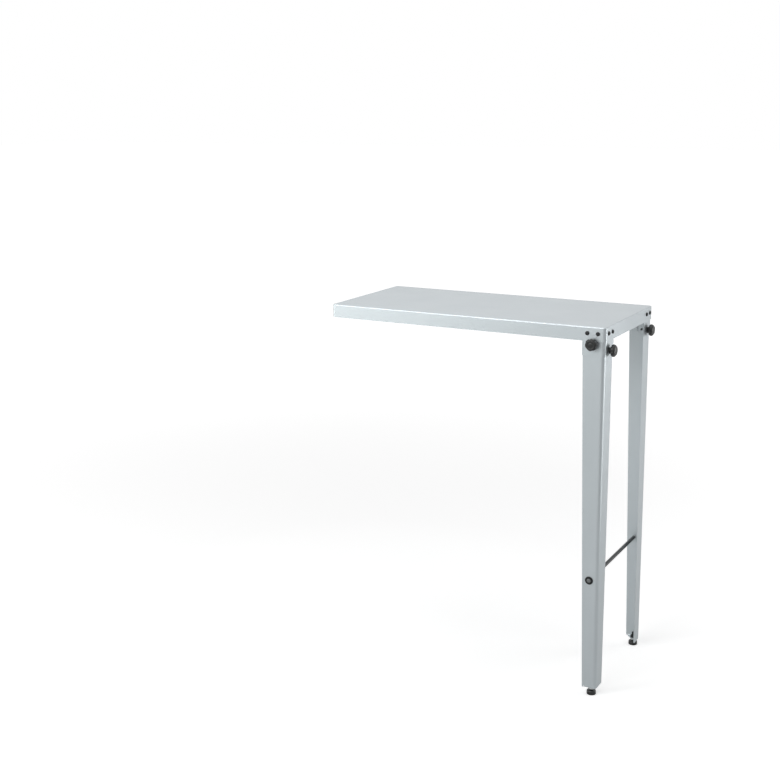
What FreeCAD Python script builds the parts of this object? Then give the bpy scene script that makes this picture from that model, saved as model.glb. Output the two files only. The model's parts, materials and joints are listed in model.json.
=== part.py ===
import FreeCAD, Part
import math
import os

from FreeCAD import Vector

# Outfeed table: a folded sheet-steel top on two tapered angle legs at its outer end.
# The other end is bolted to a machine's table.
#
# Frame, in millimetres: the origin is midway between the two machine bolts, on the
# outer face of the machine-side apron. +X runs along the table towards the legs,
# +Y towards the rear, +Z up.

# ---------------------------------------------------------------- driving dimensions

# Table top: a tray of sheet steel, folded down on all four sides
table_length = 806.0
table_depth = 370.0
table_height = 1000.0
apron_height = 37.0
top_sheet = 1.5
top_edge_radius = 3.0
top_corner_radius = 9.0

# Bolts through the machine-side apron
machine_bolt_drop = 20.0
machine_bolt_spacing = 240.0
machine_bolt_hole = 9.0

# Stiffener: a top-hat channel under the middle of the top
stiffener_length = 660.0
stiffener_width = 44.0
stiffener_depth = 18.0
stiffener_lip = 14.0
stiffener_sheet = 1.2

# Corner brackets: angles inside the two outer corners of the tray
bracket_sheet = 2.0
bracket_reach = 62.5
bracket_top_gap = 0.5
bracket_bottom_margin = 3.5
bracket_bend_radius = 10.5
bracket_corner_round = 5.0

# Legs: tapered angles that stand inside the brackets
leg_sheet = 2.0
leg_bend_radius = 9.5
leg_top_width = 59.0
leg_top_margin = 3.5
leg_side_foot_width = 38.5
leg_end_foot_width = 46.0
leg_corner_round = 4.0
leg_travel = 5.0

# Tab folded inwards at the foot of each leg
tab_beyond_foot = 9.0
tab_corner_cut = 14.0
tab_bend_radius = 4.0
tab_corner_round = 4.0
tab_relief = 1.5

# M6 button-head screws and nuts that hold the brackets
screw_shank = 6.0
screw_head = 11.0
screw_head_height = 3.3
screw_socket = 4.0
screw_socket_depth = 2.0
screw_clearance = 0.6
screw_inset = 21.0
screw_spacing = 28.0
screw_overhang = 2.0
nut_across_flats = 10.0
nut_height = 5.0
nut_above_leg = 2.5

# Clamp knobs: grip, threaded stud, washer and slot nut
side_knob_inset = 34.5
end_knob_inset = 33.0
knob_below_apron = 1.0
knob_stagger = 18.5
stud_diameter = 6.0
stud_hole_clearance = 0.6
stud_beyond_nut = 10.0
stud_in_grip = 12.0
thread_clearance = 0.05
knob_washer_diameter = 12.0
knob_washer_thickness = 1.6
grip_radius = 16.0
grip_face_radius = 11.5
grip_back_radius = 14.5
grip_height = 16.6
grip_head_thickness = 11.0
grip_front_bevel = 4.2
grip_back_bevel = 1.6
grip_neck_radius = 8.0
grip_base_radius = 9.0
grip_base_thickness = 1.0
grip_base_cone = 1.0
grip_lobes = 6
grip_scallop_radius = 9.0
grip_scallop_depth = 1.5
side_grip_turn = math.radians(15)

# Slot nut: a square plate with a boss that keeps it from turning in the slot
slot_width = 10.0
slot_nut_width = 16.0
slot_nut_thickness = 5.0
slot_nut_round = 1.0
slot_nut_straight = 2.0
slot_nut_play = 0.4
slot_nut_boss_gap = 0.2

# Tie rod between the legs, with a screw and a washer at each end
tie_rod_diameter = 10.0
tie_rod_inset = 29.0
tie_rod_height = 324.0
tie_washer_diameter = 22.0
tie_washer_thickness = 1.6
tie_screw_reach = 12.0
tie_thread_room = 4.0

# Levelling feet: pad, stud, lock nut under the tab and weld nut on it
pad_diameter = 25.0
pad_height = 12.0
pad_socket_depth = 6.0
pad_bevel = 2.5
foot_stud_diameter = 8.0
foot_stud_bare = 3.0
foot_travel = 10.0
foot_hole_clearance = 1.0
foot_hole_margin = 1.0
foot_nut_across_flats = 13.0
foot_weld_nut_height = 6.5
foot_lock_nut_height = 4.0

# ---------------------------------------------------------------- derived places

half_depth = table_depth / 2
top_z = machine_bolt_drop
apron_bottom_z = top_z - apron_height
floor_z = top_z - table_height

bracket_offset = top_sheet
leg_offset = bracket_offset + bracket_sheet
leg_inner_face = leg_offset + leg_sheet

# The side knobs sit just below the apron, and everything at the top of the leg
# follows from them.
slot_end = leg_travel + (slot_width + slot_nut_straight) / 2
side_knob_z = apron_bottom_z - knob_below_apron - knob_washer_diameter / 2
end_knob_z = side_knob_z - knob_stagger
slot_top_z = side_knob_z + slot_end
slot_bottom_z = end_knob_z - slot_end
leg_top_z = slot_top_z + leg_top_margin
screw_z = leg_top_z + leg_travel + nut_above_leg + nut_across_flats / 2
bracket_top_z = top_z - top_edge_radius - bracket_top_gap
bracket_bottom_z = slot_bottom_z - bracket_bottom_margin

# The leg ends above the pad and the lock nut, and the foot sits beside its two bends.
leg_bottom_z = floor_z + pad_height + foot_stud_bare + foot_lock_nut_height
foot_hole = foot_stud_diameter + foot_hole_clearance
foot_inset_x = leg_offset + leg_bend_radius + foot_hole_margin + foot_hole / 2
foot_inset_y = leg_offset + tab_bend_radius + foot_nut_across_flats / 2
tab_near = leg_offset + leg_bend_radius
tab_far = leg_offset + leg_side_foot_width - leg_corner_round - tab_relief
tie_rod_z = floor_z + tie_rod_height

up = Vector(0, 0, 1)
down = Vector(0, 0, -1)

# The front-end corner has two faces. On the side face a piece is measured along the
# table from the corner, and on the end face across it. "depth" is always measured
# inwards from the apron's outer face.
outward_from = {"side": Vector(0, -1, 0), "end": Vector(1, 0, 0)}


def corner_point(face, along, depth, z):
    """A point at the front-end corner, from its distances on one of its faces."""
    if face == "side":
        return Vector(table_length - along, -half_depth + depth, z)
    return Vector(table_length - depth, -half_depth + along, z)


def foot_point(z):
    """A point on the axis of the front foot."""
    return corner_point("side", foot_inset_x, foot_inset_y, z)


def mirrored(shape):
    """The same piece at the rear, mirrored about the middle of the table."""
    return shape.mirror(Vector(0, 0, 0), Vector(0, 1, 0))


# ---------------------------------------------------------------- shape helpers


def rounded_outline(points, radii):
    """A closed planar wire through the points, with each corner rounded by its radius."""
    edges = []
    ends = []
    count = len(points)
    for index, (corner, radius) in enumerate(zip(points, radii)):
        before = (points[index - 1] - corner).normalize()
        after = (points[(index + 1) % count] - corner).normalize()
        if radius == 0:
            ends.append((corner, corner))
            continue
        half_angle = before.getAngle(after) / 2
        setback = radius / math.tan(half_angle)
        middle_way = (before + after).normalize()
        middle = corner + middle_way * (radius / math.sin(half_angle) - radius)
        start = corner + before * setback
        finish = corner + after * setback
        edges.append(Part.Arc(start, middle, finish).toShape())
        ends.append((start, finish))
    for index in range(count):
        start = ends[index][1]
        finish = ends[(index + 1) % count][0]
        if start.distanceToPoint(finish) > 1e-6:
            edges.append(Part.makeLine(start, finish))
    return Part.Wire(Part.__sortEdges__(edges))


def plate(points, radii, thickness_vector):
    """A flat plate: the rounded outline, thickened along the vector."""
    return Part.Face(rounded_outline(points, radii)).extrude(thickness_vector)


def rod(radius, start, direction, length):
    """A round bar from the start point along the direction."""
    return Part.makeCylinder(radius, length, start, direction)


def hexagon(across_flats, start, direction, length):
    """A hexagonal bar, with two of its flats level when it lies on its side."""
    sideways = direction.cross(up)
    if sideways.Length < 0.5:
        sideways = Vector(1, 0, 0)
    sideways.normalize()
    level = direction.cross(sideways)
    corner_radius = across_flats / math.sqrt(3)
    corners = []
    for step in range(6):
        turn = step * math.pi / 3
        spoke = sideways * math.cos(turn) + level * math.sin(turn)
        corners.append(start + spoke * corner_radius)
    outline = Part.makePolygon(corners + corners[:1])
    return Part.Face(outline).extrude(Vector(direction) * length)


def hex_nut(across_flats, bore, start, direction, height):
    """A hexagon nut with a plain bore and its outer corners turned down."""
    blank = hexagon(across_flats, start, direction, height)
    turned_radius = across_flats / math.sqrt(3)
    bevel = (turned_radius - across_flats / 2) * 0.7
    turned = rod(turned_radius, start, direction, height - bevel)
    cone_start = start + direction * (height - bevel)
    cone = Part.makeCone(turned_radius, turned_radius - 2 * bevel, bevel, cone_start, direction)
    body = blank.common(turned.fuse(cone))
    return body.cut(rod(bore / 2, start - direction, direction, height + 2))


def washer(outer, inner, start, direction, thickness):
    """A plain washer."""
    disc = rod(outer / 2, start, direction, thickness)
    return disc.cut(rod(inner / 2, start - direction, direction, thickness + 2))


def button_screw(start, outward, reach):
    """An M6 button-head screw. Its head sits on the start point, its shank points inwards."""
    head_radius = screw_head / 2
    crown_radius = head_radius * 0.55
    rim = screw_head_height * 0.3
    head = rod(head_radius, start, outward, rim)
    crown = Part.makeCone(
        head_radius, crown_radius, screw_head_height - rim, start + outward * rim, outward
    )
    shank = rod(screw_shank / 2, start, outward * -1, reach)
    socket_start = start + outward * (screw_head_height - screw_socket_depth)
    socket = hexagon(screw_socket, socket_start, outward, screw_socket_depth + 1)
    return head.fuse([crown, shank]).cut(socket).removeSplitter()


def angle_flange(face, offset, bend_radius, sheet, heights, reaches, corner_round):
    """One flange of an angle. reaches go from the corner to its edge, at its top and bottom."""
    tangent = offset + bend_radius
    top, bottom = heights
    points = [
        corner_point(face, tangent, offset, bottom),
        corner_point(face, reaches[1], offset, bottom),
        corner_point(face, reaches[0], offset, top),
        corner_point(face, tangent, offset, top),
    ]
    return plate(points, [0, corner_round, 0, 0], outward_from[face] * -sheet)


def angle_bend(offset, bend_radius, sheet, heights):
    """The quarter-round bend that joins the two flanges of an angle."""
    tangent = offset + bend_radius
    centre = corner_point("side", tangent, tangent, heights[1])
    height = heights[0] - heights[1]
    outer = Part.makeCylinder(bend_radius, height, centre, up, 90)
    inner = Part.makeCylinder(bend_radius - sheet, height, centre, up, 90)
    bend = outer.cut(inner)
    bend.rotate(centre, up, -90)
    return bend


def angle_section(offset, bend_radius, sheet, heights, reaches, corner_round):
    """A sheet angle standing in the front-end corner. heights are those of its top and
    bottom, and reaches holds each flange's reach at the top and at the bottom."""
    bend = angle_bend(offset, bend_radius, sheet, heights)
    flanges = [
        angle_flange(face, offset, bend_radius, sheet, heights, reaches[face], corner_round)
        for face in ("side", "end")
    ]
    return bend.fuse(flanges).removeSplitter()


def upright_plate(face, along, z, size, radius, depth, thickness):
    """A rounded upright rectangle on a face. size is its width and height."""
    half_width = size[0] / 2
    half_height = size[1] / 2
    points = [
        corner_point(face, along - half_width, depth, z - half_height),
        corner_point(face, along + half_width, depth, z - half_height),
        corner_point(face, along + half_width, depth, z + half_height),
        corner_point(face, along - half_width, depth, z + half_height),
    ]
    return plate(points, [radius] * 4, outward_from[face] * -thickness)


def hole(face, along, depth, z, diameter, length):
    """A round tool that drills inwards through a face of the corner."""
    start = corner_point(face, along, depth, z)
    return rod(diameter / 2, start, outward_from[face] * -1, length)


# ---------------------------------------------------------------- table top


def tray_block(inset, corner_radius, edge_radius, bottom_z):
    """The tray's outside or inside as a block, with its corners and top edge rounded."""
    block = Part.makeBox(
        table_length - 2 * inset,
        table_depth - 2 * inset,
        top_z - inset - bottom_z,
        Vector(inset, -half_depth + inset, bottom_z),
    )
    uprights = [edge for edge in block.Edges if abs(edge.tangentAt(0).z) > 0.9]
    block = block.makeFillet(corner_radius, uprights)
    rim = [edge for edge in block.Edges if edge.BoundBox.ZMin > top_z - inset - 1e-3]
    return block.makeFillet(edge_radius, rim)


def bracket_screw_places():
    """The face and distance from the corner of each screw of one bracket."""
    places = []
    for face in ("side", "end"):
        for step in range(2):
            places.append((face, screw_inset + step * screw_spacing))
    return places


def make_table_top():
    """The folded tray, with its holes for the machine bolts and the bracket screws."""
    outside = tray_block(0, top_corner_radius, top_edge_radius, apron_bottom_z)
    inside = tray_block(
        top_sheet, top_corner_radius - top_sheet, top_edge_radius - top_sheet, apron_bottom_z - 1
    )
    tray = outside.cut(inside)
    for side in (-1, 1):
        start = Vector(-1, side * machine_bolt_spacing / 2, 0)
        tray = tray.cut(rod(machine_bolt_hole / 2, start, Vector(1, 0, 0), top_sheet + 2))
    for face, along in bracket_screw_places():
        drill = hole(face, along, -1, screw_z, screw_shank + screw_clearance, top_sheet + 2)
        tray = tray.cut([drill, mirrored(drill)])
    return tray


def make_top_stiffener():
    """A top-hat channel whose two lips lie against the underside of the top."""
    under_z = top_z - top_sheet
    start_x = (table_length - stiffener_length) / 2
    half_web = stiffener_width / 2
    sheet = stiffener_sheet
    outline = [
        (-half_web - stiffener_lip, 0),
        (-half_web + sheet, 0),
        (-half_web + sheet, sheet - stiffener_depth),
        (half_web - sheet, sheet - stiffener_depth),
        (half_web - sheet, 0),
        (half_web + stiffener_lip, 0),
        (half_web + stiffener_lip, -sheet),
        (half_web, -sheet),
        (half_web, -stiffener_depth),
        (-half_web, -stiffener_depth),
        (-half_web, -sheet),
        (-half_web - stiffener_lip, -sheet),
    ]
    points = [Vector(start_x, y, under_z + z) for y, z in outline]
    return plate(points, [0] * len(points), Vector(stiffener_length, 0, 0))


# ---------------------------------------------------------------- brackets


def knob_height(face):
    """The height of the clamp knob on one face of the corner."""
    if face == "side":
        return side_knob_z
    return end_knob_z


def knob_inset(face):
    """How far the clamp knob on one face stands in from the corner."""
    if face == "side":
        return side_knob_inset
    return end_knob_inset


def make_corner_bracket():
    """The angle inside the front-end corner, drilled for its screws and clamp studs."""
    bracket = angle_section(
        bracket_offset,
        bracket_bend_radius,
        bracket_sheet,
        (bracket_top_z, bracket_bottom_z),
        {face: (bracket_reach, bracket_reach) for face in ("side", "end")},
        bracket_corner_round,
    )
    for face, along in bracket_screw_places():
        drill = hole(face, along, 0, screw_z, screw_shank + screw_clearance, leg_offset + 1)
        bracket = bracket.cut(drill)
    for face in ("side", "end"):
        size = stud_diameter + stud_hole_clearance
        bracket = bracket.cut(hole(face, knob_inset(face), 0, knob_height(face), size, leg_offset + 1))
    return bracket


def make_bracket_screws():
    """The four screws of one bracket: two in the side apron and two in the end apron."""
    reach = leg_offset + nut_height + screw_overhang
    screws = []
    for face, along in bracket_screw_places():
        screws.append(button_screw(corner_point(face, along, 0, screw_z), outward_from[face], reach))
    return Part.makeCompound(screws)


def make_bracket_nuts():
    """The nuts behind the bracket on its four screws."""
    nuts = []
    for face, along in bracket_screw_places():
        start = corner_point(face, along, leg_offset, screw_z)
        inwards = outward_from[face] * -1
        bore = screw_shank + 2 * thread_clearance
        nuts.append(hex_nut(nut_across_flats, bore, start, inwards, nut_height))
    return Part.makeCompound(nuts)


# ---------------------------------------------------------------- legs


def stud_slot(face):
    """The upright slot that a clamp stud and its slot nut run in."""
    middle_z = (slot_top_z + slot_bottom_z) / 2
    size = (slot_width, slot_top_z - slot_bottom_z)
    end_radius = slot_width / 2 - 0.01
    return upright_plate(
        face, knob_inset(face), middle_z, size, end_radius, leg_offset - 1, leg_sheet + 2
    )


def foot_tab():
    """The tab folded inwards from the side flange, with its bend and its cut corner."""
    bend_top = leg_bottom_z + tab_bend_radius
    tab_top = leg_bottom_z + leg_sheet
    free_edge = foot_inset_y + tab_beyond_foot
    profile = [
        corner_point("side", tab_far, leg_offset, bend_top),
        corner_point("side", tab_far, leg_offset, leg_bottom_z),
        corner_point("side", tab_far, free_edge, leg_bottom_z),
        corner_point("side", tab_far, free_edge, tab_top),
        corner_point("side", tab_far, leg_inner_face, tab_top),
        corner_point("side", tab_far, leg_inner_face, bend_top),
    ]
    radii = [0, tab_bend_radius, 0, 0, tab_bend_radius - leg_sheet, 0]
    folded = plate(profile, radii, Vector(tab_far - tab_near, 0, 0))
    beyond_bend = leg_offset + tab_bend_radius + 0.5
    footprint = [
        corner_point("side", tab_near, leg_offset, leg_bottom_z),
        corner_point("side", tab_far, leg_offset, leg_bottom_z),
        corner_point("side", tab_far, beyond_bend, leg_bottom_z),
        corner_point("side", tab_far - tab_corner_cut, free_edge, leg_bottom_z),
        corner_point("side", tab_near, free_edge, leg_bottom_z),
    ]
    rounds = [0, 0, tab_corner_round, tab_corner_round, tab_corner_round]
    return folded.common(plate(footprint, rounds, up * tab_bend_radius))


def tab_clearance():
    """The part of the side flange that is cut away where the tab and its relief begin."""
    depth = leg_offset - 1
    thickness = leg_sheet + 2
    below = leg_bottom_z - 1
    bend_corner = corner_point("side", tab_far, depth, below)
    under_bend = Part.makeBox(tab_far - tab_near, thickness, tab_bend_radius + 1, bend_corner)
    relief_corner = corner_point("side", tab_far + tab_relief, depth, below)
    relief_height = tab_bend_radius + leg_sheet + 1
    relief = Part.makeBox(tab_relief, thickness, relief_height, relief_corner)
    return under_bend.fuse(relief)


def make_leg():
    """The tapered front leg with its slots, its tie-rod hole and its foot tab."""
    top_reach = leg_offset + leg_top_width
    leg = angle_section(
        leg_offset,
        leg_bend_radius,
        leg_sheet,
        (leg_top_z, leg_bottom_z),
        {
            "side": (top_reach, leg_offset + leg_side_foot_width),
            "end": (top_reach, leg_offset + leg_end_foot_width),
        },
        leg_corner_round,
    )
    leg = leg.cut([stud_slot("side"), stud_slot("end"), tab_clearance()])
    leg = leg.fuse(foot_tab()).removeSplitter()
    screw_hole = screw_shank + screw_clearance
    leg = leg.cut(hole("side", tie_rod_inset, 0, tie_rod_z, screw_hole, leg_inner_face + 1))
    start = foot_point(leg_bottom_z - 1)
    return leg.cut(rod(foot_hole / 2, start, up, leg_sheet + 2))


# ---------------------------------------------------------------- tie rod


def make_tie_rod():
    """The round bar between the legs, with a threaded hole in each end."""
    start = corner_point("side", tie_rod_inset, leg_inner_face, tie_rod_z)
    along = Vector(0, 1, 0)
    length = table_depth - 2 * leg_inner_face
    bar = rod(tie_rod_diameter / 2, start, along, length)
    bore_radius = screw_shank / 2 + thread_clearance
    thread = rod(bore_radius, start - along, along, tie_screw_reach + tie_thread_room + 1)
    return bar.cut([thread, mirrored(thread)])


def make_tie_washer():
    """The wide washer on the outside of the front leg."""
    start = corner_point("side", tie_rod_inset, leg_offset, tie_rod_z)
    inner = screw_shank + screw_clearance
    return washer(tie_washer_diameter, inner, start, outward_from["side"], tie_washer_thickness)


def make_tie_screw():
    """The screw through the washer and the leg into the end of the rod."""
    start = corner_point("side", tie_rod_inset, leg_offset - tie_washer_thickness, tie_rod_z)
    reach = tie_washer_thickness + leg_sheet + tie_screw_reach
    return button_screw(start, outward_from["side"], reach)


# ---------------------------------------------------------------- clamp knobs


def knob_seat(face):
    """Where the axis of a clamp knob meets the outer face of the bracket."""
    return corner_point(face, knob_inset(face), bracket_offset, knob_height(face))


def make_clamp_washer(face):
    """The washer between the grip and the bracket."""
    inner = stud_diameter + stud_hole_clearance
    outward = outward_from[face]
    return washer(knob_washer_diameter, inner, knob_seat(face), outward, knob_washer_thickness)


def make_clamp_grip(face):
    """The lobed grip: a flared base, a neck and a bevelled head with hollows round its rim."""
    head_start = grip_height - grip_head_thickness
    profile = [
        (0, 0),
        (grip_base_radius, 0),
        (grip_base_radius, grip_base_thickness),
        (grip_neck_radius, grip_base_thickness + grip_base_cone),
        (grip_neck_radius, head_start),
        (grip_back_radius, head_start),
        (grip_radius, head_start + grip_back_bevel),
        (grip_radius, grip_height - grip_front_bevel),
        (grip_face_radius, grip_height),
        (0, grip_height),
    ]
    points = [Vector(radius, 0, z) for radius, z in profile]
    outline = Part.makePolygon(points + points[:1])
    grip = Part.Face(outline).revolve(Vector(0, 0, 0), up, 360)
    scallop_distance = grip_radius + grip_scallop_radius - grip_scallop_depth
    first_turn = side_grip_turn if face == "side" else 0
    for step in range(grip_lobes):
        turn = first_turn + (step + 0.5) * 2 * math.pi / grip_lobes
        spoke = Vector(math.cos(turn), math.sin(turn), 0)
        start = spoke * scallop_distance + up * (head_start - 1)
        grip = grip.cut(rod(grip_scallop_radius, start, up, grip_head_thickness + 2))
    grip = grip.cut(rod(stud_diameter / 2, down, up, stud_in_grip + 1))
    turn_out = FreeCAD.Rotation(up, outward_from[face])
    seat = knob_seat(face) + outward_from[face] * knob_washer_thickness
    grip.Placement = FreeCAD.Placement(seat, turn_out)
    return grip


def make_clamp_stud(face):
    """The threaded stud, from inside the grip to just past the slot nut."""
    outward = outward_from[face]
    start = knob_seat(face) + outward * (knob_washer_thickness + stud_in_grip)
    length = (
        stud_in_grip
        + knob_washer_thickness
        + bracket_sheet
        + leg_sheet
        + slot_nut_thickness
        + stud_beyond_nut
    )
    return rod(stud_diameter / 2, start, outward * -1, length)


def make_clamp_nut(face):
    """The square nut against the inside of the leg, with its boss in the leg's slot."""
    z = knob_height(face)
    body_size = (slot_nut_width, slot_nut_width)
    body = upright_plate(
        face, knob_inset(face), z, body_size, slot_nut_round, leg_inner_face, slot_nut_thickness
    )
    boss_width = slot_width - slot_nut_play
    boss_size = (boss_width, boss_width + slot_nut_straight)
    boss_depth = leg_offset + slot_nut_boss_gap
    end_radius = boss_width / 2 - 0.01
    boss = upright_plate(
        face, knob_inset(face), z, boss_size, end_radius, boss_depth, leg_inner_face - boss_depth
    )
    bore = stud_diameter + 2 * thread_clearance
    length = leg_sheet + slot_nut_thickness + 2
    return body.fuse(boss).cut(hole(face, knob_inset(face), leg_offset - 1, z, bore, length))


# ---------------------------------------------------------------- levelling feet


def make_foot_pad():
    """The round pad, with a blind socket that the stud turns in."""
    body = rod(pad_diameter / 2, foot_point(floor_z), up, pad_height - pad_bevel)
    bevel_start = foot_point(floor_z + pad_height - pad_bevel)
    top = Part.makeCone(pad_diameter / 2, pad_diameter / 2 - pad_bevel, pad_bevel, bevel_start, up)
    socket_radius = foot_stud_diameter / 2 + thread_clearance
    socket_start = foot_point(floor_z + pad_height - pad_socket_depth)
    socket = rod(socket_radius, socket_start, up, pad_socket_depth + 1)
    return body.fuse(top).removeSplitter().cut(socket)


def make_foot_stud():
    """The threaded stud that the leg stands on."""
    bottom_z = floor_z + pad_height - pad_socket_depth
    stud_top_z = leg_bottom_z + leg_sheet + foot_weld_nut_height + foot_travel
    return rod(foot_stud_diameter / 2, foot_point(bottom_z), up, stud_top_z - bottom_z)


def make_foot_lock_nut():
    """The thin nut tightened against the underside of the tab."""
    start = foot_point(leg_bottom_z)
    return hex_nut(foot_nut_across_flats, foot_stud_diameter, start, down, foot_lock_nut_height)


def make_foot_weld_nut():
    """The nut welded on top of the tab."""
    bore = foot_stud_diameter + 2 * thread_clearance
    start = foot_point(leg_bottom_z + leg_sheet)
    return hex_nut(foot_nut_across_flats, bore, start, up, foot_weld_nut_height)


# ---------------------------------------------------------------- write the parts


def save(name, shape):
    """Write one piece, or one group of equal fasteners, to its own file."""
    shape.exportStep(os.path.join("parts", name + ".step"))


def main():
    os.makedirs("parts", exist_ok=True)
    save("table_top", make_table_top())
    save("top_stiffener", make_top_stiffener())
    save("tie_rod", make_tie_rod())

    tie_washer = make_tie_washer()
    tie_screw = make_tie_screw()
    save("tie_rod_washers", Part.makeCompound([tie_washer, mirrored(tie_washer)]))
    save("tie_rod_screws", Part.makeCompound([tie_screw, mirrored(tie_screw)]))

    makers = {
        "corner_bracket": make_corner_bracket,
        "bracket_screws": make_bracket_screws,
        "bracket_nuts": make_bracket_nuts,
        "leg": make_leg,
        "foot_pad": make_foot_pad,
        "foot_stud": make_foot_stud,
        "foot_lock_nut": make_foot_lock_nut,
        "foot_weld_nut": make_foot_weld_nut,
    }
    for name, make in makers.items():
        piece = make()
        save(name + "_front", piece)
        save(name + "_rear", mirrored(piece))

    clamp_makers = {
        "clamp_grip": make_clamp_grip,
        "clamp_stud": make_clamp_stud,
        "clamp_washer": make_clamp_washer,
        "clamp_nut": make_clamp_nut,
    }
    for face in ("side", "end"):
        for name, make in clamp_makers.items():
            piece = make(face)
            save(name + "_front_" + face, piece)
            save(name + "_rear_" + face, mirrored(piece))


main()
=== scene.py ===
import json
import math

import bmesh
import bpy
import numpy as np
from mathutils import Matrix, Vector


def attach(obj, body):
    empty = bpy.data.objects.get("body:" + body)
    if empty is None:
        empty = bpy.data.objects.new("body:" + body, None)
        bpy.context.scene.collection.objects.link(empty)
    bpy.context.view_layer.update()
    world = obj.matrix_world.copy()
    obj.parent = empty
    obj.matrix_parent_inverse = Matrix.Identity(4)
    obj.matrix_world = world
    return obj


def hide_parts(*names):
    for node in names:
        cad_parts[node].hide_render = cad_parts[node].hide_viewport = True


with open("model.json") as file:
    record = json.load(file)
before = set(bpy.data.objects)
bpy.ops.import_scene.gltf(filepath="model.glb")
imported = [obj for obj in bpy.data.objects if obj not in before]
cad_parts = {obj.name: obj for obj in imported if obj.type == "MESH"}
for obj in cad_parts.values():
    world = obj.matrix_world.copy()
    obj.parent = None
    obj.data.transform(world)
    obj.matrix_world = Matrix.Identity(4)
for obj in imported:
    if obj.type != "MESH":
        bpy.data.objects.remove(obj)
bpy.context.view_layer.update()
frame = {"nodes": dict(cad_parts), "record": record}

# ------------------------------------------------------------------ table top
# A tray of 1.5 mm sheet steel: four aprons folded down, the corners welded shut and
# ground round. Silver-grey powder coat covers it inside and out.


def new_finish(name):
    """A node material with its shader, and coordinates that are fixed to the piece."""
    finish = bpy.data.materials.new(name)
    finish.use_nodes = True
    tree = finish.node_tree
    place = tree.nodes.new("ShaderNodeTexCoord").outputs["Object"]
    return finish, tree, tree.nodes["Principled BSDF"], place


def grain(tree, place, size, detail=2.0):
    """Soft noise whose blobs are about as many metres across as size says."""
    noise = tree.nodes.new("ShaderNodeTexNoise")
    noise.inputs["Scale"].default_value = 1 / size
    noise.inputs["Detail"].default_value = detail
    tree.links.new(place, noise.inputs["Vector"])
    return noise.outputs["Fac"]


def between(tree, amount, low, high, reach=(0.3, 0.7)):
    """A number from low to high as the amount goes across its reach."""
    span = tree.nodes.new("ShaderNodeMapRange")
    span.inputs["From Min"].default_value, span.inputs["From Max"].default_value = reach
    span.inputs["To Min"].default_value, span.inputs["To Max"].default_value = low, high
    tree.links.new(amount, span.inputs["Value"])
    return span.outputs["Result"]


def tinted(tree, amount, first, second):
    """A colour from the first to the second as the noise grows."""
    mix = tree.nodes.new("ShaderNodeMix")
    mix.data_type = "RGBA"
    mix.inputs["A"].default_value = (*first, 1)
    mix.inputs["B"].default_value = (*second, 1)
    tree.links.new(between(tree, amount, 0, 1), mix.inputs["Factor"])
    return mix.outputs["Result"]


def raised(tree, height, depth, under=None):
    """A bumped normal whose hills are depth metres high, on top of the bumps under it."""
    bump = tree.nodes.new("ShaderNodeBump")
    bump.inputs["Distance"].default_value = depth
    tree.links.new(height, bump.inputs["Height"])
    if under:
        tree.links.new(under, bump.inputs["Normal"])
    return bump.outputs["Normal"]


def powder_coat(name, pale, deep):
    """Powder coat: faint clouds in the colour and the gloss, and an orange-peel skin with a
    fine grain on it."""
    finish, tree, shader, place = new_finish(name)
    clouds = grain(tree, place, 0.12, 4)
    peel = grain(tree, place, 0.0024, 1)
    fine = grain(tree, place, 0.0006, 1)
    tree.links.new(tinted(tree, clouds, pale, deep), shader.inputs["Base Color"])
    tree.links.new(between(tree, clouds, 0.34, 0.38), shader.inputs["Roughness"])
    skin = raised(tree, fine, 0.000008, raised(tree, peel, 0.00003))
    tree.links.new(skin, shader.inputs["Normal"])
    shader.inputs["Metallic"].default_value = 0.55
    return finish


silver_coat = powder_coat("silver_powder_coat", (0.554, 0.603, 0.629), (0.538, 0.586, 0.612))


def paint(node, finish):
    """Give a CAD node its finish."""
    slots = frame["nodes"][node].data.materials
    slots.clear()
    slots.append(finish)


paint("table_top", silver_coat)

# ------------------------------------------------------------------ stiffener
# A top-hat channel of 1.2 mm sheet, folded with small radii. Its two lips are spot
# welded to the underside of the top, and it is coated together with it.

stiffener_length = 0.660
stiffener_middle = 0.403
stiffener_depth = 0.018
stiffener_web = 0.044
stiffener_lip = 0.014
stiffener_sheet = 0.0012
stiffener_fold = 0.003
stiffener_edge = 0.0003
underside = 0.0185
same_point = 1e-6


def softened(corners, reach, steps=5):
    """A line of points through 2-D corners, each corner rounded off within its reach.
    Each rounding is a parabola: u squared runs out of one leg of the corner as (1 - u)
    squared runs into it."""
    corners = np.array(corners, float)
    inner = corners[1:-1]
    to_last = corners[:-2] - inner
    to_next = corners[2:] - inner
    size = np.broadcast_to(np.array(reach, float), len(inner))[:, None]
    start = inner + to_last * size / np.linalg.norm(to_last, axis=1)[:, None]
    end = inner + to_next * size / np.linalg.norm(to_next, axis=1)[:, None]
    u = np.linspace(0, 1, steps)[None, :, None]
    arcs = (1 - u) ** 2 * start[:, None] + 2 * u * (1 - u) * inner[:, None] + u**2 * end[:, None]
    return np.concatenate([corners[:1], arcs.reshape(-1, 2), corners[-1:]])


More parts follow.
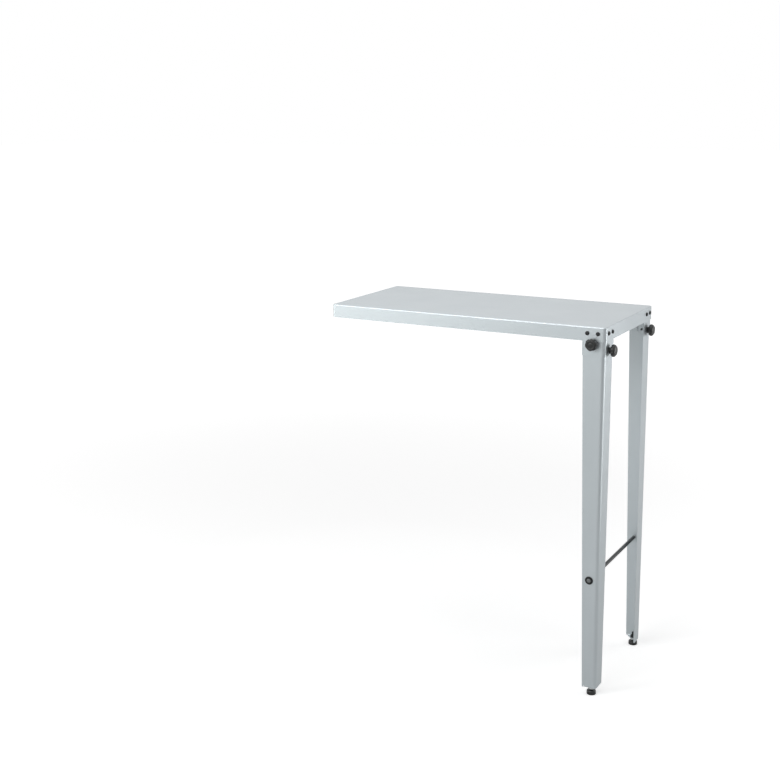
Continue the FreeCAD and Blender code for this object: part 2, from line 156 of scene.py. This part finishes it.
def closed_skin(name, sheets, finish, sharp=32):
    """One mesh from sheets of points. Each sheet is rows of closed loops: a row joins the
    next, and rows that shrink to a point close the ends. Edges that turn by more than
    sharp degrees stay crisp."""
    points, faces, first = [], [], 0
    for sheet in sheets:
        rows, loop = sheet.shape[:2]
        here = first + np.arange(rows * loop).reshape(rows, loop)
        beside = np.roll(here, -1, axis=1)
        faces.append(np.stack([here[:-1], beside[:-1], beside[1:], here[1:]], -1).reshape(-1, 4))
        points.append(sheet.reshape(-1, 3))
        first += rows * loop
    mesh = bpy.data.meshes.new(name)
    mesh.from_pydata(np.concatenate(points).tolist(), [], np.concatenate(faces).tolist())
    shell = bmesh.new()
    shell.from_mesh(mesh)
    bmesh.ops.remove_doubles(shell, verts=shell.verts, dist=same_point)
    bmesh.ops.recalc_face_normals(shell, faces=shell.faces)
    shell.to_mesh(mesh)
    shell.free()
    mesh.polygons.foreach_set("use_smooth", np.ones(len(mesh.polygons), bool))
    mesh.set_sharp_from_angle(angle=math.radians(sharp))
    mesh.materials.append(finish)
    piece = bpy.data.objects.new(name, mesh)
    bpy.context.scene.collection.objects.link(piece)
    return piece


def stands_for(piece, node):
    """The piece rides on the body of its CAD node and is shown in the node's place."""
    bodies = frame["record"]["behaviour"]["bodies"]
    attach(piece, next(body for body, nodes in bodies.items() if node in nodes))
    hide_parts(node)


def dress(node, name, sheets, finish, sharp=32):
    """A closed skin of its own, shown in place of a CAD node."""
    stands_for(closed_skin(name, sheets, finish, sharp), node)


half_web = (stiffener_web - stiffener_sheet) / 2
lip_edge = stiffener_web / 2 + stiffener_lip
lip_line = underside - stiffener_sheet / 2
web_line = underside - stiffener_depth + stiffener_sheet / 2
middle_line = softened(
    [(-lip_edge, lip_line), (-half_web, lip_line), (-half_web, web_line),
     (half_web, web_line), (half_web, lip_line), (lip_edge, lip_line)],
    stiffener_fold, 7,
)
tangent = np.gradient(middle_line, axis=0)
square_to_line = np.stack([-tangent[:, 1], tangent[:, 0]], 1)
square_to_line /= np.linalg.norm(square_to_line, axis=1)[:, None]

# Each row is the sheet's own section at one place on the middle line: a flat rectangle,
# as long as the channel and as thick as the sheet, with its corners eased.
half_length, half_sheet = stiffener_length / 2, stiffener_sheet / 2
section = softened(
    [(0, half_sheet), (half_length, half_sheet), (half_length, -half_sheet),
     (-half_length, -half_sheet), (-half_length, half_sheet), (0, half_sheet)],
    stiffener_edge, 3,
)[:-1]
channel = np.empty((len(middle_line), len(section), 3))
channel[..., 0] = stiffener_middle + section[None, :, 0]
channel[..., 1:] = middle_line[:, None] + section[None, :, 1:] * square_to_line[:, None]
closed_ends = [np.repeat(channel[end].mean(0)[None, None], len(section), 1) for end in (0, -1)]
channel = np.concatenate([closed_ends[0], channel, closed_ends[1]])

# A darker copy of the silver coat: painted shade on the channel under the top, which is coated
# the same as the top.
shaded_underside_coat = powder_coat(
    "shaded_underside_powder_coat", (0.540, 0.588, 0.614), (0.512, 0.559, 0.587)
)
dress("top_stiffener", "underside_channel", [channel], shaded_underside_coat)

# ------------------------------------------------------------------ brackets and legs
# The brackets are angles of 2 mm sheet inside the outer corners of the tray. The legs
# are longer angles that taper to the foot and stand inside the brackets.

way_out = {"front": -1, "rear": 1}
for side in way_out:
    paint("corner_bracket_" + side, silver_coat)
    paint("leg_" + side, silver_coat)

# ------------------------------------------------------------------ bracket screws
# M6 button-head screws with hexagon sockets, blacked. Two go through the side apron
# and two through the end apron at each outer corner.

table_end = 0.806
half_depth = 0.185
screw_insets = (0.021, 0.049)
screw_height = 0.003
screw_radius = 0.003
screw_reach = 0.0105
screw_socket = 0.004
screw_thread, thread_runout = 0.0035, 0.0002
thread_pitch = 0.001
around = np.linspace(0, 2 * np.pi, 48, endpoint=False)


def steel_finish(name, pale, deep, roughness, metallic):
    """Plated or blacked steel: patches of tone and of gloss, with fine drawn lines."""
    finish, tree, shader, place = new_finish(name)
    patches = grain(tree, place, 0.006, 4)
    lines = grain(tree, place, 0.0005, 2)
    tree.links.new(tinted(tree, patches, pale, deep), shader.inputs["Base Color"])
    tree.links.new(between(tree, patches, *roughness), shader.inputs["Roughness"])
    tree.links.new(raised(tree, lines, 0.000012), shader.inputs["Normal"])
    shader.inputs["Metallic"].default_value = metallic
    return finish


def ring(radius, height):
    """A level loop round the axis, at one radius or at a radius for each direction."""
    return np.stack(
        [radius * np.cos(around), radius * np.sin(around), np.full(len(around), height)], -1
    )


def loops_round(reach, heights):
    """Loops round the axis, one for each height in a column. The reach is their radius, as
    a column or with a column for each direction."""
    loops = np.empty((len(heights), len(around), 3))
    loops[..., 0] = reach * np.cos(around)
    loops[..., 1] = reach * np.sin(around)
    loops[..., 2] = heights
    return loops


def turned(profile):
    """Loops round the axis, one for each radius and height of the profile."""
    profile = np.array(profile)
    return loops_round(profile[:, :1], profile[:, 1:])


def hexagonal(across_flats):
    """The radius of a hexagon in each direction: half its width over the cosine of the
    angle to the middle of the nearest flat."""
    to_flat = (around + np.pi / 6) % (np.pi / 3) - np.pi / 6
    return across_flats / 2 / np.cos(to_flat)


def threaded(radius, pitch, low, high):
    """A screw thread from low to high on the axis: the radius falls by 0.6 of the pitch
    in a V that climbs one pitch in each turn, and the ends are turned to a bevel."""
    heights = np.linspace(low, high, max(3, round((high - low) / pitch * 8) + 1))[:, None]
    climb = (heights / pitch - around / (2 * np.pi)) % 1
    depth = 0.6 * pitch * np.clip(np.abs(2 * climb - 1) * 1.25 - 0.12, 0, 1)
    to_end = np.minimum(heights - low, high - heights)
    reach = np.minimum(radius - depth, radius - 0.7 * pitch + to_end)
    return loops_round(reach, heights)


def stood(local, seat, outward):
    """Points whose third number runs along an axis, turned so that it runs outward from
    the seat."""
    outward = np.array(outward, float)
    level = np.cross((0, 0, 1), outward) if abs(outward[2]) < 0.5 else np.array((1.0, 0, 0))
    return np.array(seat) + local @ np.array([level, np.cross(outward, level), outward])


def button_screw(reach):
    """A button-head screw: thread, plain neck, flat under the head, a domed crown, and a
    socket whose loops go from round to hexagonal and down to a cone."""
    tip = turned([(0, -reach)])
    shank = threaded(screw_radius, thread_pitch, -reach, -reach + screw_thread)
    neck = turned([(screw_radius, -reach + screw_thread + thread_runout), (screw_radius, 0)])
    crown = turned(softened(
        [(0.0034, 0), (0.0055, 0), (0.0055, 0.0009), (0.0049, 0.00215), (0.0037, 0.0031),
         (0.0026, 0.0033)],
        (0.0002, 0.0004, 0.0007, 0.0006), 4,
    ))
    socket = hexagonal(screw_socket)
    mouth = np.stack([ring(socket * 1.03, 0.0033), ring(socket, 0.0031), ring(socket, 0.0014)])
    floor_of_socket = np.stack([ring(socket * 0.9, 0.0013), ring(0 * socket, 0.0009)])
    return np.concatenate([tip, shank, neck, crown, mouth, floor_of_socket])


def corner_places(side):
    """Seats and directions of the four bracket screws at the front or rear corner."""
    out = way_out[side]
    on_side = [
        ((table_end - inset, out * half_depth, screw_height), (0, out, 0))
        for inset in screw_insets
    ]
    on_end = [
        ((table_end, out * (half_depth - inset), screw_height), (1, 0, 0))
        for inset in screw_insets
    ]
    return on_side + on_end


black_steel = steel_finish(
    "blacked_steel", (0.026, 0.028, 0.029), (0.014, 0.015, 0.016), (0.26, 0.38), 0.5
)
screw = button_screw(screw_reach)
for side in way_out:
    sheets = [stood(screw, seat, outward) for seat, outward in corner_places(side)]
    dress(
        "bracket_screws_" + side, "button_screws_" + side, sheets, black_steel
    )

# ------------------------------------------------------------------ bracket nuts
# Zinc-plated M6 hexagon nuts on the inner ends of the screws, against the brackets.

inside_bracket = 0.0035
nut_flats, nut_height = 0.010, 0.005


def hexagon_nut(across_flats, bore, height):
    """A hexagon nut: the hexagon is cut by a shallow cone at both ends, and the threaded
    hole is countersunk. Near an end a loop is the smaller of the hexagon and the cone,
    whose radius grows by slope for each metre of drop from the face."""
    face_share, slope, countersink = 0.97, 1.9, bore * 0.06
    flats = hexagonal(across_flats)
    face = across_flats / 2 * face_share
    corner_drop = (flats.max() - face) / slope
    drops = np.linspace(0, corner_drop, 7)
    lower = [ring(np.minimum(flats, face + drop * slope), drop) for drop in drops]
    upper = [ring(np.minimum(flats, face + drop * slope), height - drop) for drop in drops[::-1]]
    hole = turned([
        (bore / 2 + countersink, height), (bore / 2, height - countersink),
        (bore / 2, countersink), (bore / 2 + countersink, 0),
    ])
    return np.concatenate([lower, upper, hole, lower[:1]])


zinc_steel = steel_finish(
    "zinc_plated_steel", (0.66, 0.67, 0.67), (0.53, 0.55, 0.57), (0.28, 0.42), 1.0
)
nut = hexagon_nut(nut_flats, 2 * screw_radius, nut_height)
for side in way_out:
    sheets = [
        stood(nut, np.array(seat) - inside_bracket * np.array(outward), -np.array(outward))
        for seat, outward in corner_places(side)
    ]
    dress("bracket_nuts_" + side, "hexagon_nuts_" + side, sheets, zinc_steel)

# ------------------------------------------------------------------ tie rod
# A blacked 10 mm round bar between the legs. A button-head screw and a wide washer
# hold it at each end.

rod_inset = 0.029
rod_height = -0.656
rod_radius, rod_edge = 0.005, 0.0008
bar_screw_reach = 0.0156
leg_outer_face = 0.0035
leg_inner_face = 0.0055
washer_thickness = 0.0016
washer_hole = 0.0066
wide_washer_width = 0.022


def plain_washer(outer, inner, thickness):
    """A washer with eased edges: its section is a rounded rectangle, carried round."""
    middle = (outer + inner) / 4
    return turned(softened(
        [(middle, 0), (outer / 2, 0), (outer / 2, thickness), (inner / 2, thickness),
         (inner / 2, 0), (middle, 0)],
        thickness * 0.3, 4,
    ))


rod_end = half_depth - leg_inner_face
bar = turned(softened(
    [(0, -rod_end), (rod_radius, -rod_end), (rod_radius, rod_end), (0, rod_end)], rod_edge, 4
))
rod_place = (table_end - rod_inset, 0, rod_height)
dress("tie_rod", "cross_bar", [stood(bar, rod_place, (0, 1, 0))], black_steel)
wide_washer = plain_washer(wide_washer_width, washer_hole, washer_thickness)
bar_screw = button_screw(bar_screw_reach)
washer_sheets, screw_sheets = [], []
for out in way_out.values():
    at_leg = np.array((rod_place[0], out * (half_depth - leg_outer_face), rod_height))
    outward = np.array((0.0, out, 0))
    washer_sheets.append(stood(wide_washer, at_leg, outward))
    screw_sheets.append(stood(bar_screw, at_leg + washer_thickness * outward, outward))
dress("tie_rod_washers", "wide_washers", washer_sheets, black_steel)
# A mid-grey steel tone, lighter than the blacked steel, for the bar screws and the clamp studs.
mid_grey_steel = steel_finish(
    "mid_grey_blacked_steel", (0.24, 0.25, 0.25), (0.13, 0.14, 0.14), (0.30, 0.42), 0.9
)
dress("tie_rod_screws", "bar_screws", screw_sheets, mid_grey_steel)

# ------------------------------------------------------------------ clamp knobs
# Four knobs clamp the legs in their brackets. Each is a black moulded grip with six
# lobes on an M6 stud, over a washer, and the stud screws into a square nut in the leg.

knob_insets = {"side": 0.0345, "end": 0.033}
knob_heights = {"side": -0.024, "end": -0.0425}
side_grip_turn, end_grip_turn = math.radians(15), math.radians(30)
bracket_face = 0.0015
knob_washer_width = 0.012
stud_inner_end, stud_outer_end = -0.019, 0.0136
slot_nut_width, slot_nut_thickness, slot_nut_corner = 0.016, 0.005, 0.001
boss_width, boss_straight, boss_depth = 0.0096, 0.002, 0.0018


def moulded_plastic(name, pale, deep):
    """Black moulded plastic: a spark-eroded grain, a little greyer where it is handled."""
    finish, tree, shader, place = new_finish(name)
    handled = grain(tree, place, 0.009, 3)
    eroded = grain(tree, place, 0.0004, 2)
    tree.links.new(tinted(tree, handled, pale, deep), shader.inputs["Base Color"])
    tree.links.new(between(tree, handled, 0.26, 0.36), shader.inputs["Roughness"])
    tree.links.new(raised(tree, eroded, 0.000012), shader.inputs["Normal"])
    return finish


def lobed_grip(turn):
    """The grip: a turned profile whose head is hollowed between six lobes. In each
    direction the head reaches to the profile or to the nearest hollow, a circle outside
    it, whichever is nearer, and the change between them is softened."""
    profile = softened(
        [(0, 0.0120), (0.0031, 0.0120), (0.0031, 0.0), (0.0090, 0.0), (0.0090, 0.0010),
         (0.0080, 0.0020), (0.0080, 0.0056), (0.0145, 0.0056), (0.0160, 0.0072),
         (0.0160, 0.0124), (0.0116, 0.0166), (0.0098, 0.0166), (0.0091, 0.0158),
         (0.0052, 0.0158), (0.0044, 0.0163), (0, 0.0165)],
        (0.0003, 0.0003, 0.0003, 0.0004, 0.0006, 0.0008, 0.0008, 0.0010, 0.0016, 0.0012,
         0.0004, 0.0004, 0.0006, 0.0004), 6,
    )
    hollow, middle, far_out = 0.009, 0.0235, 0.03
    from_hollow = (around - turn) % (np.pi / 3) - np.pi / 6
    sideways = np.clip(middle * np.sin(from_hollow), -hollow, hollow)
    to_hollow = middle * np.cos(from_hollow) - np.sqrt(hollow**2 - sideways**2)
    to_hollow = np.where(np.abs(sideways) < hollow, to_hollow, far_out)
    reach = profile[:, :1] * np.ones(len(around))
    ease = 0.0004
    gap = to_hollow - reach
    neck_top, widest_neck = 0.0055, 0.0100
    in_head = (profile[:, 1:] > neck_top) & (profile[:, :1] > widest_neck)
    reach = np.where(in_head, reach + (gap - np.sqrt(gap**2 + ease**2)) / 2, reach)
    return loops_round(reach, profile[:, 1:])


def rounded_plate(width, height, corner):
    """The radius in each direction of a rectangle with rounded corners: to the nearer
    flat, or past the corner's middle to its circle where that flat has ended."""
    x, y = width / 2 - corner, height / 2 - corner
    across, up = np.abs(np.cos(around)), np.abs(np.sin(around))
    nearly_none = 1e-9
    flat_side = (width / 2) / np.maximum(across, nearly_none)
    flat_top = (height / 2) / np.maximum(up, nearly_none)
    along = x * across + y * up
    on_corner = along + np.sqrt(np.maximum(along**2 - (x**2 + y**2 - corner**2), 0))
    straight = np.minimum(flat_side, flat_top)
    past_flats = (straight * across > x) & (straight * up > y)
    return np.where(past_flats, on_corner, straight)


def slot_nut():
    """The square nut: eased square loops a hair off the leg, then the narrower boss that
    fills the slot."""
    ease, seat_gap, bore = 0.0003, 0.00005, 0.00305
    nearly_half = boss_width / 2 - 0.00001
    square = rounded_plate(slot_nut_width, slot_nut_width, slot_nut_corner)
    boss = rounded_plate(boss_width, boss_width + boss_straight, nearly_half)
    body = [
        ring(square - ease, slot_nut_thickness), ring(square, slot_nut_thickness - ease),
        ring(square, seat_gap + ease), ring(square - ease, seat_gap),
        ring(boss, seat_gap), ring(boss, -boss_depth + ease), ring(boss - ease, -boss_depth),
    ]
    hole = turned([(bore + ease, -boss_depth), (bore, -boss_depth + ease),
                   (bore, slot_nut_thickness - ease), (bore + ease, slot_nut_thickness)])
    return np.concatenate([body, hole, body[:1]])


knob_black = moulded_plastic(
    "moulded_black_plastic", (0.013, 0.015, 0.015), (0.006, 0.007, 0.007)
)
knob_washer = plain_washer(knob_washer_width, washer_hole, washer_thickness)
knob_stud = np.concatenate([
    turned([(0, stud_inner_end)]),
    threaded(screw_radius, thread_pitch, stud_inner_end, stud_outer_end),
    turned([(0, stud_outer_end)]),
])
for side, out in way_out.items():
    for face, height in knob_heights.items():
        if face == "side":
            outward = np.array((0.0, out, 0))
            seat = np.array((table_end - knob_insets[face], out * half_depth, height))
            turn = -out * side_grip_turn
        else:
            outward = np.array((1.0, 0, 0))
            seat = np.array((table_end, out * (half_depth - knob_insets[face]), height))
            turn = end_grip_turn
        at_bracket = seat - bracket_face * outward
        at_leg = seat - leg_inner_face * outward
        where = f"_{side}_{face}"
        washer = stood(knob_washer, at_bracket, outward)
        dress("clamp_washer" + where, "knob_washer" + where, [washer], black_steel)
        grip = stood(lobed_grip(turn), at_bracket + washer_thickness * outward, outward)
        dress("clamp_grip" + where, "knob_grip" + where, [grip], knob_black, 40)
        stud = stood(knob_stud, at_bracket, outward)
        dress("clamp_stud" + where, "knob_stud" + where, [stud], mid_grey_steel)
        held_nut = stood(slot_nut(), at_leg, -outward)
        dress("clamp_nut" + where, "slot_nut" + where, [held_nut], zinc_steel)

# ------------------------------------------------------------------ levelling feet
# Each leg stands on an M8 stud in a round black pad. A thin nut locks the stud under
# the leg's tab, and a nut welded on the tab carries its thread.

floor_level = -0.980
foot_insets = (0.0185, 0.0140)
tab_underside = -0.961
tab_sheet = 0.002
foot_radius, foot_pitch = 0.004, 0.00125
stud_in_pad, stud_above_tab = 0.006, 0.0165
foot_nut_flats, lock_nut_height, weld_nut_height = 0.013, 0.004, 0.0065


def foot_pad():
    """The pad: a turned profile with a soft lower edge, a bevel and a sunk hole for the
    stud."""
    return turned(softened(
        [(0, 0), (0.0125, 0), (0.0125, 0.0095), (0.0100, 0.0120), (0.0056, 0.0120),
         (0.0052, 0.0112), (0.0041, 0.0112), (0.0041, stud_in_pad), (0, stud_in_pad)],
        (0.0012, 0.0010, 0.0010, 0.0003, 0.0003, 0.0003, 0.0003), 5,
    ))


up = np.array((0, 0, 1.0))
stud_low = floor_level + stud_in_pad
stud_high = tab_underside + tab_sheet + stud_above_tab
foot_stud = np.concatenate([
    turned([(0, stud_low)]),
    threaded(foot_radius, foot_pitch, stud_low, stud_high),
    turned([(0, stud_high)]),
])
lock_nut = hexagon_nut(foot_nut_flats, 2 * foot_radius, lock_nut_height)
weld_nut = hexagon_nut(foot_nut_flats, 2 * foot_radius, weld_nut_height)
for side, out in way_out.items():
    foot = np.array((table_end - foot_insets[0], out * (half_depth - foot_insets[1]), 0.0))
    pad = stood(foot_pad(), foot + floor_level * up, up)
    dress("foot_pad_" + side, "pad_" + side, [pad], knob_black)
    stud = stood(foot_stud, foot, up)
    dress("foot_stud_" + side, "m8_stud_" + side, [stud], black_steel)
    lock = stood(lock_nut, foot + (tab_underside - lock_nut_height) * up, up)
    dress("foot_lock_nut_" + side, "lock_nut_" + side, [lock], zinc_steel)
    weld = stood(weld_nut, foot + (tab_underside + tab_sheet) * up, up)
    dress("foot_weld_nut_" + side, "weld_nut_" + side, [weld], black_steel)

# ------------------------------------------------------------------ floor, light, camera
# A plain white floor that keeps a faint shadow, a white surround, soft lamps and one
# camera. The floor glows a little more with distance, as the lamps' light fades there.

floor_reach = 30
glow_near, glow_far = 0.575, 1.0
glow_span = (1.3, 4.0)
floor_in_gloss = 0.35
surround_light = 0.10
floor_mesh = bpy.data.meshes.new("studio_floor")
corner_signs = ((-1, -1), (1, -1), (1, 1), (-1, 1))
floor_mesh.from_pydata(
    [(x * floor_reach, y * floor_reach, floor_level) for x, y in corner_signs],
    [], [(0, 1, 2, 3)],
)
studio_floor = bpy.data.objects.new("studio_floor", floor_mesh)
bpy.context.scene.collection.objects.link(studio_floor)


def seen_directly(tree, in_gloss=1.0):
    """How much of the background a ray is shown: all from the camera or through glass,
    and a share of it by way of a gloss."""
    rays = tree.nodes.new("ShaderNodeLightPath")
    total = between(tree, rays.outputs["Is Glossy Ray"], 0, in_gloss, (0, 1))
    for kind in ("Is Camera Ray", "Is Transmission Ray"):
        add = tree.nodes.new("ShaderNodeMath")
        add.operation = "MAXIMUM"
        tree.links.new(total, add.inputs[0])
        tree.links.new(rays.outputs[kind], add.inputs[1])
        total = add.outputs[0]
    return total


floor_paint, tree, shader, place = new_finish("floor_paint")
shader.inputs["Base Color"].default_value = (0.80, 0.80, 0.80, 1)
shader.inputs["Roughness"].default_value = 0.9
shader.inputs["Specular IOR Level"].default_value = 0
shader.inputs["Emission Color"].default_value = (1, 1, 1, 1)
far = tree.nodes.new("ShaderNodeVectorMath")
far.operation = "LENGTH"
tree.links.new(place, far.inputs[0])
glow = between(tree, far.outputs["Value"], glow_near, glow_far, glow_span)
lift = tree.nodes.new("ShaderNodeMath")
lift.operation = "MULTIPLY"
tree.links.new(glow, lift.inputs[0])
tree.links.new(seen_directly(tree, floor_in_gloss), lift.inputs[1])
tree.links.new(lift.outputs[0], shader.inputs["Emission Strength"])
floor_mesh.materials.append(floor_paint)

scene = bpy.context.scene
world = bpy.data.worlds.new("studio")
scene.world = world
world.use_nodes = True
surround = world.node_tree.nodes["Background"]
surround.inputs["Color"].default_value = (1, 1, 1, 1)
shown = between(world.node_tree, seen_directly(world.node_tree), surround_light, 1, (0, 1))
world.node_tree.links.new(shown, surround.inputs["Strength"])


def soft_lamp(name, place, aim, width, height, power, tint=(1, 1, 1)):
    """A rectangular soft box that faces the point it is aimed at."""
    light = bpy.data.lights.new(name, "AREA")
    light.shape = "RECTANGLE"
    light.size, light.size_y = width, height
    light.energy = power
    light.color = tint
    lamp = bpy.data.objects.new(name, light)
    back = np.array(place, float) - np.array(aim, float)
    lamp.rotation_mode = "QUATERNION"
    lamp.rotation_quaternion = Vector(back).to_track_quat("Z", "Y")
    lamp.location = place
    scene.collection.objects.link(lamp)


soft_lamp("left_end_box", (0.1, -1.2, 0.55), (0.15, -0.185, 0), 0.6, 0.6, 3.8)
soft_lamp("near_left_box", (-0.7, -1.5, 0.5), (0.1, -0.2, 0), 0.8, 0.8, 9.4)
soft_lamp("far_left_box", (-2.4, -1.6, -0.45), (0.4, -0.2, -0.3), 1.6, 0.8, 10, (0.98, 1, 0.97))
soft_lamp("low_left_box", (-1.5, -2.3, -0.45), (0.4, -0.2, -0.3), 1.6, 0.8, 3.4, (0.98, 1, 0.95))
soft_lamp("low_front_box", (0, -3.2, 0.3), (0.5, -0.2, -0.3), 1.4, 1.4, 5, (0.98, 1, 0.95))
soft_lamp("high_front_box", (0.2, -3.6, 1.8), (0.5, 0, -0.3), 1.8, 1.4, 28)
soft_lamp("right_behind_box", (2.6, 1.8, -0.3), (0.8, 0, -0.4), 1, 1, 16.8)
soft_lamp("low_right_box", (2.0, 0.25, -0.6), (0.8, 0, -0.5), 0.5, 0.6, 2.1, (0.98, 1, 0.97))
soft_lamp("overhead_box", (0.4, 0.2, 2.6), (0.4, 0, 0), 2.4, 2.4, 27, (0.99, 0.99, 1))

picture_width, focal_length, sensor_width = 780, 1213.5, 36
camera_heading, camera_dip, camera_roll = 29.764, 12.197, -0.606
camera_data = bpy.data.cameras.new("camera")
camera_data.sensor_fit = "HORIZONTAL"
camera_data.lens = sensor_width * focal_length / picture_width
camera_data.shift_x = -0.001
camera_data.shift_y = -0.0437
camera = bpy.data.objects.new("camera", camera_data)
camera.matrix_world = (
    Matrix.Translation((1.8120, -3.0247, 0.5947))
    @ Matrix.Rotation(math.radians(camera_heading), 4, "Z")
    @ Matrix.Rotation(math.radians(90 - camera_dip), 4, "X")
    @ Matrix.Rotation(math.radians(camera_roll), 4, "Z")
)
scene.collection.objects.link(camera)
scene.camera = camera
scene.view_settings.view_transform = "Standard"
